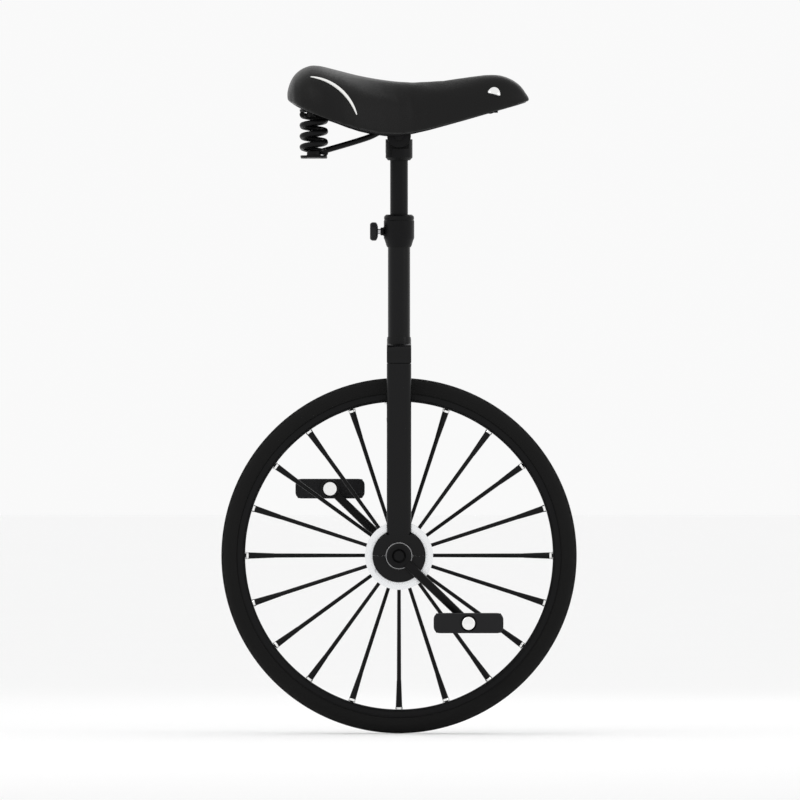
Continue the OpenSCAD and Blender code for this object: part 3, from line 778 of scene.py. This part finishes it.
@dataclass
class Fork:
    """The crown, the seat collar and its hand knob."""

    crown_corner: float = 14 * MM
    lobes: int = 8
    pad_travel: float = 2.5 * MM

    def build(self) -> None:
        """Makes the three fittings."""
        self._crown()
        self._collar()
        self._knob()

    def _crown(self) -> None:
        """Makes the bridge between the legs, with a boss that narrows to the neck tube."""
        low, high = (Vector(v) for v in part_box("fork_crown"))
        neck = extent("neck_tube").x / 2
        top = high.z - 10 * MM
        size = Vector((high.x - low.x, high.y - low.y, top - low.z))
        bridge = Shape()
        bmesh.ops.create_cube(bridge.bm, size=1.0)
        bmesh.ops.scale(bridge.bm, vec=size, verts=bridge.bm.verts)
        shoulders = [e for e in bridge.bm.edges if all(v.co.z > 0 for v in e.verts)
                     and abs(e.verts[0].co.y - e.verts[1].co.y) < 1e-6]
        bmesh.ops.bevel(bridge.bm, geom=shoulders, offset=self.crown_corner, segments=10,
                        profile=0.5, affect="EDGES", material=-1)
        bridge.soften(1.8 * MM, segments=3).move(Matrix.Translation((0, 0, (top + low.z) / 2)))
        boss = [(0.0, top - 2 * MM), (size.x / 2, top - 2 * MM), (size.x / 2 - 0.2 * MM, top + 1 * MM),
                (neck + 1.4 * MM, top + 6 * MM), (neck + 0.9 * MM, high.z),
                (neck + 0.1 * MM, high.z), (0.0, high.z - 1 * MM)]
        bridge.join(Shape.turned(boss, (0, 0, 0), "Z", 64))
        bridge.put("crown", ENAMEL, "frame", ("fork_crown",), "frame_paint")

    def _collar(self) -> None:
        """Makes the collar that the knob's screw goes through, with a weld bead below."""
        low, high = (Vector(v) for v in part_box("seat_collar"))
        radius = (high.y - low.y) / 2
        neck = extent("neck_tube").x / 2
        post = extent("seat_post").x / 2 + 0.1 * MM
        knob_z = centre("clamp_knob").z
        profile = [
            (neck + 0.05 * MM, low.z), (neck + 0.9 * MM, low.z), (neck + 2.2 * MM, low.z + 2.5 * MM),
            (radius - 1.2 * MM, low.z + 10.5 * MM), (radius, low.z + 13 * MM),
            (radius, high.z - 9 * MM), (radius - 0.7 * MM, high.z - 8 * MM),
            (radius - 0.7 * MM, high.z - 6.6 * MM), (radius - 0.2 * MM, high.z - 5.6 * MM),
            (radius - 0.6 * MM, high.z - 2.5 * MM), (radius - 3.2 * MM, high.z),
            (post + 0.6 * MM, high.z), (post, high.z - 0.6 * MM), (post, low.z + 34 * MM),
            (neck + 0.05 * MM, low.z + 34 * MM),
        ]
        collar = Shape.turned(profile, (0, 0, 0), "Z", 96, ring=True)
        pad_low, pad_high = (Vector(v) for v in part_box("clamp_pad"))
        pocket = (pad_high.z - pad_low.z) / 2 + 0.2 * MM
        back = pad_low.x - self.pad_travel - 0.3 * MM
        hole, outside = 4.1 * MM, -40 * MM
        drill = [(0.0, outside), (hole, outside), (hole, back), (pocket, back), (pocket, 0.0), (0.0, 0.0)]
        collar.cut(Shape.turned(drill, (0, 0, knob_z), "X", 48))
        boss = [(4.1 * MM, low.x), (5.0 * MM, low.x), (5.7 * MM, low.x + 0.7 * MM),
                (5.7 * MM, low.x + 3.4 * MM), (7.6 * MM, low.x + 5.2 * MM), (4.1 * MM, low.x + 5.2 * MM)]
        collar.join(Shape.turned(boss, (0, 0, knob_z), "X", 48, ring=True))
        collar.put("collar", SATIN, "frame", ("seat_collar",), "fitting_black")

    def _knob(self) -> None:
        """Makes the hand knob, scalloped round its rim and dished on its face."""
        low, high = (Vector(v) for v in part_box("clamp_knob"))
        radius = (high.y - low.y) / 2
        middle = (low + high) / 2
        half = (high.x - low.x) / 2
        profile = [
            (4.1 * MM, half), (7.0 * MM, half), (radius - 3.0 * MM, half - 1.0 * MM),
            (radius - 0.6 * MM, half - 2.4 * MM), (radius, half - 4.0 * MM),
            (radius, -half + 3.2 * MM), (radius - 1.0 * MM, -half + 1.2 * MM),
            (radius - 2.6 * MM, -half), (radius - 5.2 * MM, -half),
            (radius - 6.6 * MM, -half + 0.9 * MM), (0.0, -half + 0.9 * MM),
        ]
        knob = Shape.turned(profile, (0, 0, 0), "X", 96)
        for vert in knob.bm.verts:
            reach = math.hypot(vert.co.y, vert.co.z)
            if reach > 0.72 * radius:
                turn = math.atan2(vert.co.z, vert.co.y)
                dent = 0.085 * max(0.0, math.cos(self.lobes * turn)) ** 2 * (reach / radius)
                vert.co.y *= 1 - dent
                vert.co.z *= 1 - dent
        knob.move(Matrix.Translation(middle))
        knob.put("hand_knob", MOULDING, "knob", ("clamp_knob",), "knob_plastic", crease=50.0)


# --------------------------------------------------------------------------- saddle


@dataclass
class Undercarriage:
    """The bent rails, the strap under the springs and the two coil springs."""

    wire: float = 4 * MM
    turns: float = 3.5
    rail_y: float = 22 * MM

    def build(self) -> None:
        """Makes the rails and the springs."""
        self._rails()
        for side in (LEFT, RIGHT):
            self._spring(side)

    def _rails(self) -> None:
        """Makes both rails, welded to the spring strap behind and the nose barrel in front."""
        tilt, nose = joint_place("saddle_tilt"), joint_place("saddle_bounce")
        spring_left, spring_low = centre("spring_left"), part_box("spring_left")[0][2]
        grip = tilt.z + 11 * MM
        strap_top = spring_low - 0.2 * MM
        shells = []
        for side in (LEFT, RIGHT):
            path = [
                Vector((spring_left.x - 4.5 * MM, side * 25 * MM, strap_top + 1.8 * MM)),
                Vector((spring_left.x + 12 * MM, side * 24.7 * MM, strap_top + 6.3 * MM)),
                Vector((-46 * MM, side * 23.2 * MM, grip - 14.6 * MM)),
                Vector((-32 * MM, side * 22.4 * MM, grip - 8 * MM)),
                Vector((-20 * MM, side * self.rail_y, grip - 0.6 * MM)),
                Vector((-12 * MM, side * self.rail_y, grip)),
                Vector((12 * MM, side * self.rail_y, grip)),
                Vector((24 * MM, side * 21.6 * MM, grip + 1.2 * MM)),
                Vector((68 * MM, side * 19 * MM, grip + 15.4 * MM)),
                Vector((92 * MM, side * 13.4 * MM, grip + 22 * MM)),
                Vector((nose.x - 7 * MM, side * 7 * MM, nose.z)),
            ]
            shells.append(Shape.wire(path, self.wire, smooth=True, sides=5))
            seat = [(0.0, -3.5 * MM), (18.2 * MM, -3.5 * MM), (19 * MM, -2.7 * MM),
                    (19 * MM, -0.6 * MM), (18.4 * MM, 0.0), (10 * MM, 0.0),
                    (9.6 * MM, 5.6 * MM), (8.0 * MM, 7.0 * MM), (0.0, 7.0 * MM)]
            shells.append(Shape.turned(seat, (spring_left.x, side * spring_left.y, strap_top), "Z", 48))
        strap = Shape.block((20 * MM, 2 * spring_left.y, 3.3 * MM),
                            (spring_left.x, 0, strap_top - 1.75 * MM), 0.8 * MM)
        barrel = [(4.05 * MM, -11 * MM), (7.4 * MM, -11 * MM), (8 * MM, -10.4 * MM),
                  (8 * MM, 10.4 * MM), (7.4 * MM, 11 * MM), (4.05 * MM, 11 * MM)]
        strap.join(Shape.turned(barrel, nose, "Y", 48, ring=True), *shells)
        strap.put("bent_rails", SATIN, "rails", ("saddle_rails", "nose_barrel"), "spring_black", crease=40.0)

    def _spring(self, side: int) -> None:
        """Makes one coil spring, held by the rails below and by the saddle above."""
        node = f"spring_{side_name(side)}"
        low, high = (Vector(v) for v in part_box(node))
        middle = centre(node)
        radius = (high.x - low.x) / 2 - self.wire
        start, stop = low.z + self.wire, high.z - self.wire
        count = int(self.turns * 28)
        path = []
        for i in range(count + 1):
            turn = -side * 2 * math.pi * self.turns * i / count
            path.append(Vector((middle.x + radius * math.cos(turn),
                                side * abs(middle.y) + radius * math.sin(turn),
                                start + (stop - start) * i / count)))
        spring = Shape.wire(path, self.wire, sides=5)
        piece = spring.put(f"coil_{side_name(side)}", SATIN, None, (node,), "spring_black", crease=60.0)
        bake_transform(piece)


@dataclass
class Saddle:
    """The padded leather cover with its welt, a white bead painted as the highlight down each flank, and nose
    studs.
    """

    voxel: float = 4 * MM
    pressure: float = 4.0
    cap: float = 2 * MM
    relax_passes: int = 12
    highlight_from: float = 83.0
    highlight_to: float = 18.0

    def build(self) -> None:
        """Makes the cover first, because the trim lies on it."""
        cover = self._cover()
        self.surface = BVHTree.FromObject(cover, bpy.context.evaluated_depsgraph_get())
        self._welt()
        self._painted_highlight()
        self._studs()

    def _blank(self) -> Object:
        """Returns one closed remeshed body made of the cover and its padding."""
        bm = bmesh.new()
        for node in ("saddle_cover", "saddle_padding"):
            bm.from_mesh(frame["nodes"][node].data)
        bmesh.ops.remove_doubles(bm, verts=bm.verts, dist=1e-6)
        mesh = bpy.data.meshes.new("saddle_blank")
        bm.to_mesh(mesh)
        bm.free()
        blank = bpy.data.objects.new("saddle_blank", mesh)
        bpy.context.scene.collection.objects.link(blank)
        remesh = blank.modifiers.new("remesh", "REMESH")
        remesh.mode = "VOXEL"
        remesh.voxel_size = self.voxel * 0.75
        smooth = blank.modifiers.new("smooth", "SMOOTH")
        smooth.factor = 0.5
        smooth.iterations = 5
        self._apply(blank)
        return blank

    @staticmethod
    def _apply(piece: Object) -> None:
        """Replaces a piece's mesh with what its modifiers make of it, and removes them."""
        bpy.context.view_layer.update()
        mesh = bpy.data.meshes.new_from_object(
            piece.evaluated_get(bpy.context.evaluated_depsgraph_get()))
        piece.modifiers.clear()
        old = piece.data
        piece.data = mesh
        bpy.data.meshes.remove(old)

    def _swell(self, blank: Object) -> None:
        """Lets air pressure round the padding out, by no more than the cap."""
        flat = [v.co.copy() for v in blank.data.vertices]
        cloth = blank.modifiers.new("cloth", "CLOTH")
        cloth.settings.use_pressure = True
        cloth.settings.uniform_pressure_force = self.pressure
        cloth.settings.effector_weights.gravity = 0.0
        cloth.settings.quality = 4
        cloth.collision_settings.use_collision = False
        for number in range(1, 21):
            bpy.context.scene.frame_set(number)
        self._apply(blank)
        bpy.context.scene.frame_set(1)
        base = BVHTree.FromObject(frame["nodes"]["saddle_base"],
                                  bpy.context.evaluated_depsgraph_get())
        for vert, rest in zip(blank.data.vertices, flat):
            away = vert.co - rest
            near = base.find_nearest(rest)[3]
            free = min(max((near - 3 * MM) / (8 * MM), 0.0), 1.0)
            reach = min(away.length, self.cap) * free
            vert.co = rest + (away.normalized() * reach if away.length > 0 else Vector())
        relax = blank.modifiers.new("relax", "SMOOTH")
        relax.factor = 0.5
        relax.iterations = self.relax_passes
        self._apply(blank)

    def _cover(self) -> Object:
        """Makes the padded cover."""
        blank = self._blank()
        self._swell(blank)
        refine = blank.modifiers.new("refine", "SUBSURF")
        refine.levels = refine.render_levels = 1
        self._apply(blank)
        shape = Shape()
        shape.bm.from_mesh(blank.data)
        bpy.data.objects.remove(blank)
        cover = shape.put("padded_cover", HIDE, "saddle", ("saddle_cover", "saddle_padding"),
                          "saddle_leather", crease=70.0)
        return cover

    def _flank(self, x: float, z: float, side: int) -> Optional[tuple[Vector, Vector]]:
        """Returns the cover's surface point and normal at a place on its flank, if it has one."""
        place, normal, _, _ = self.surface.ray_cast(Vector((x, side * 0.3, z)), Vector((0, -side, 0)), 0.3)
        return (place, normal) if place is not None else None

    def _hem(self, x: float, side: int) -> Optional[Vector]:
        """Returns the lowest point of the cover's flank at a place along it."""
        low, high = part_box("saddle_cover")
        below, above = low[2] - 5 * MM, high[2]
        steps = 60
        for i in range(steps):
            z = below + (above - below) * i / steps
            hit = self._flank(x, z, side)
            if hit and abs(hit[0].y) > 4 * MM and hit[0].y * side > 0:
                fine = z
                while hit and fine > z - (above - below) / steps:
                    lowest = hit[0]
                    fine -= 0.2 * MM
                    hit = self._flank(x, fine, side)
                return lowest
        return None

    def _welt(self) -> None:
        """Makes the piped edge that closes the cover's lower hem, right round the saddle."""
        low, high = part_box("saddle_cover")
        start, stop = low[0] + 5 * MM, high[0] - 4 * MM
        count = 70
        loops = []
        for side in (LEFT, RIGHT):
            found = (self._hem(start + (stop - start) * i / count, side) for i in range(count + 1))
            loops.append([p + Vector((0, -side * 0.6 * MM, 0.6 * MM)) for p in found if p is not None])
        path = loops[0] + loops[1][::-1]
        path = [sum((path[(i + k) % len(path)] for k in (-2, -1, 0, 1, 2)), Vector()) / 5
                for i in range(len(path))]
        path.append(path[0])
        welt = Shape.wire(path, 1.7 * MM, sides=3)
        welt.put("hem_welt", WELT, "saddle", (), "saddle_leather", crease=60.0)

    def _painted_highlight(self) -> None:
        """Makes the white bead that curls down each flank, a painted highlight where the wide rear of the
        cover turns into its side.
        """
        low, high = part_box("saddle_piping")
        first, last = math.radians(self.highlight_from), math.radians(self.highlight_to)
        radius = (high[0] - low[0]) / (math.cos(last) - math.cos(first))
        middle = Vector((high[0] - radius * math.cos(last), 0, high[2] - radius * math.sin(first)))
        count = 40
        beads = []
        for side in (LEFT, RIGHT):
            path, radii = [], []
            for i in range(count + 1):
                turn = first + (last - first) * i / count
                x, z = middle.x + radius * math.cos(turn), middle.z + radius * math.sin(turn)
                hit = self._flank(x, z, side)
                if hit:
                    path.append(hit[0] + hit[1] * 0.3 * MM)
                    radii.append(0.25 + 0.75 * math.sin(math.pi * i / count) ** 0.6)
            beads.append(Shape.wire(path, 2.5 * MM, radii, sides=4))
        beads[0].join(beads[1])
        # the white beads paint the highlight that runs down each flank
        beads[0].put("flank_painted_highlight", PAINTED_HIGHLIGHT, "saddle", ("saddle_piping",), "piping_bright", crease=60.0)

    def _studs(self) -> None:
        """Makes the half-domed stud on each side of the nose."""
        low, high = (Vector(v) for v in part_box("nose_studs"))
        radius = (high.x - low.x) / 2
        studs = Shape()
        for side in (LEFT, RIGHT):
            hit = self._flank((low.x + high.x) / 2, low.z + 0.35 * radius, side)
            dome = Shape()
            bmesh.ops.create_uvsphere(dome.bm, u_segments=32, v_segments=20, radius=radius)
            bmesh.ops.scale(dome.bm, vec=(1, 0.42, 1.2), verts=dome.bm.verts)
            cut = bmesh.ops.bisect_plane(dome.bm, geom=dome.bm.verts[:] + dome.bm.edges[:] + dome.bm.faces[:],
                                         plane_co=(0, 0, 0), plane_no=(0, 0, 1), clear_inner=True)
            rim = [e for e in cut["geom_cut"] if isinstance(e, BMEdge)]
            bmesh.ops.contextual_create(dome.bm, geom=rim)
            dome.soften(0.8 * MM, angle=50.0, segments=3)
            lean = Vector((0, side, 0)).rotation_difference(hit[1]).to_matrix().to_4x4()
            place = Vector((hit[0].x, hit[0].y, low.z))
            dome.move(Matrix.Translation(place) @ lean @ Matrix.Rotation(math.radians(14), 4, "Y"))
            studs.join(dome)
        studs.put("nose_rivets", NICKEL, "saddle", ("nose_studs",), "nickel_plate", crease=50.0)


# --------------------------------------------------------------------------- studio


@dataclass
class Studio:
    """The pale floor, the soft lights and the long-lens camera."""

    lens: float = 1000.0
    view_width: float = 1.1416
    aim: Vector = field(default_factory=lambda: Vector((0.0014, 0.0, 0.476)))
    floor_radius: float = 60.0
    paper: Colour = (0.98, 0.98, 0.98)
    surround: float = 0.97

    def build(self) -> None:
        """Sets the stage."""
        self._floor()
        self._lights()
        self._camera()

    def _floor(self) -> None:
        """Lays a wide matt floor with a faint mottle."""
        disc = bmesh.new()
        bmesh.ops.create_circle(disc, cap_ends=True, radius=self.floor_radius, segments=96)
        mesh = bpy.data.meshes.new("floor")
        disc.to_mesh(mesh)
        disc.free()
        floor = bpy.data.objects.new("floor", mesh)
        bpy.context.scene.collection.objects.link(floor)
        shader = Shader("floor_paper")
        mottle = shader.noise(3.0, 3.0)
        paler = tuple(c * 0.985 for c in self.paper)
        shader.feed(shader.surface, {
            "Base Color": shader.blend(mottle, self.paper, paler),
            "Roughness": 0.9, "Specular IOR Level": 0.1})
        floor.data.materials.append(shader.material)

    def _lights(self) -> None:
        """Hangs a large key light, a fill light and an even pale surround."""
        world = bpy.data.worlds.new("surround")
        bpy.context.scene.world = world
        world.use_nodes = True
        background = world.node_tree.nodes["Background"]
        background.inputs["Color"].default_value = (*self.paper, 1.0)
        background.inputs["Strength"].default_value = self.surround
        for name, place, size, power in (
            ("key", (-2.2, -2.6, 3.2), 1.8, 16.0),
            ("fill", (3.0, -1.8, 1.6), 1.6, 6.0),
            ("back", (1.2, 3.0, 2.6), 1.8, 9.0),
        ):
            light = bpy.data.lights.new(name, "AREA")
            light.size = size
            light.energy = power
            lamp = bpy.data.objects.new(name, light)
            lamp.location = place
            lamp.rotation_euler = (self.aim - Vector(place)).to_track_quat("-Z", "Y").to_euler()
            bpy.context.scene.collection.objects.link(lamp)

    def _camera(self) -> None:
        """Sets the camera square to the unicycle's side."""
        lens = bpy.data.cameras.new("camera")
        lens.lens = self.lens
        lens.clip_end = 200.0
        camera = bpy.data.objects.new("camera", lens)
        away = self.lens * self.view_width / lens.sensor_width
        camera.location = self.aim + Vector((0, -away, 0))
        camera.rotation_euler = (math.radians(90), 0, 0)
        bpy.context.scene.collection.objects.link(camera)
        bpy.context.scene.camera = camera
        bpy.context.scene.view_settings.view_transform = "Standard"


def main() -> None:
    """Dresses the CAD nodes, then builds each sub-assembly and the studio."""
    logging.basicConfig(level=logging.INFO, format="%(name)s %(message)s")
    SHOP.dress_nodes()
    Wheel().build()
    for side in (LEFT, RIGHT):
        Crank(side).build()
        Pedal(side).build()
    Fork().build()
    Undercarriage().build()
    Saddle().build()
    Studio().build()


if __name__ == "__main__":
    main()
